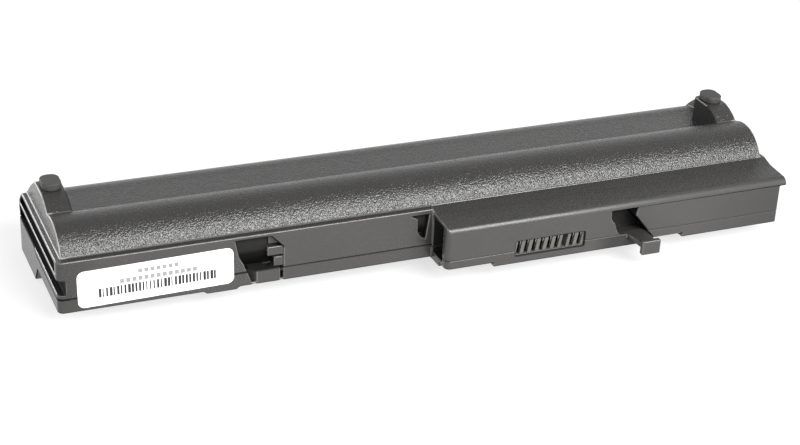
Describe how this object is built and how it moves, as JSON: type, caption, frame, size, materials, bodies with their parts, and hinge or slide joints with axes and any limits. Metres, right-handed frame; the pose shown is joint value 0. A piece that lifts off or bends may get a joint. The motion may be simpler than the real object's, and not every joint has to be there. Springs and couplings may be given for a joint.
{
  "type": "laptop battery",
  "caption": "Black snap-in laptop battery pack: long humped case, low rear row, offset connector block, end guide grooves, two hooks and two rubber feet",
  "frame": {"origin": "centre of the bounding box in x and y, lowest face of the case at z = 0", "axes": "+X along the pack towards the connector block's end, +Y towards the rear row (away from the laptop), +Z towards the side with the rubber feet, which is down when the laptop stands on a table"},
  "size_m": [0.208, 0.0644, 0.0297],
  "materials": {
    "case_plastic": "fine satin texture",
    "label_paper": "smooth printed film, semi-matte",
    "foot_rubber": "matte",
    "connector_plastic": "smooth, semi-matte",
    "contact_metal": "gold plated, bright",
    "cell_sleeve": "shrink sleeve",
    "insulating_paper": "paper, matte",
    "nickel": "nickel, satin",
    "foam": "closed-cell foam, matte",
    "board_laminate": "solder mask",
    "chip_epoxy": "moulded",
    "fuse_ceramic": "glazed",
    "capacitor_ceramic": "ceramic",
    "cutoff_steel": "satin",
    "thermistor_epoxy": "dipped",
    "lead_red": "insulation",
    "lead_black": "insulation",
    "lead_yellow": "insulation",
    "lead_blue": "insulation"
  },
  "bodies": {
    "root": {"upper_shell": "case_plastic", "lower_shell": "case_plastic", "label": "label_paper", "foot_pad_left": "foot_rubber", "foot_pad_right": "foot_rubber", "connector_housing": "connector_plastic", "contact_1": "contact_metal", "contact_2": "contact_metal", "contact_3": "contact_metal", "contact_4": "contact_metal", "contact_5": "contact_metal", "contact_6": "contact_metal", "contact_8": "contact_metal", "contact_9": "contact_metal", "cell_front_1": "cell_sleeve", "cell_front_2": "cell_sleeve", "cell_front_3": "cell_sleeve", "cell_rear_1": "cell_sleeve", "cell_rear_2": "cell_sleeve", "cell_rear_3": "cell_sleeve", "ring_front_1": "insulating_paper", "ring_front_2": "insulating_paper", "ring_front_3": "insulating_paper", "ring_rear_1": "insulating_paper", "ring_rear_2": "insulating_paper", "ring_rear_3": "insulating_paper", "strip_negative": "nickel", "strip_middle_1": "nickel", "strip_middle_2": "nickel", "strip_positive": "nickel", "end_paper_left": "insulating_paper", "end_paper_right": "insulating_paper", "end_foam_1": "foam", "end_foam_2": "foam", "end_foam_3": "foam", "end_foam_4": "foam", "spacer_foam_1": "foam", "spacer_foam_2": "foam", "spacer_foam_3": "foam", "circuit_board": "board_laminate", "gauge_chip": "chip_epoxy", "guard_chip": "chip_epoxy", "mosfet_charge": "chip_epoxy", "mosfet_discharge": "chip_epoxy", "fuse": "fuse_ceramic", "sense_resistor": "chip_epoxy", "capacitor_1": "capacitor_ceramic", "capacitor_2": "capacitor_ceramic", "capacitor_3": "capacitor_ceramic", "thermal_cutoff": "cutoff_steel", "thermistor": "thermistor_epoxy", "lead_positive": "lead_red", "lead_negative": "lead_black", "sense_lead_1": "lead_yellow", "sense_lead_2": "lead_blue"}
  },
  "joints": []
}
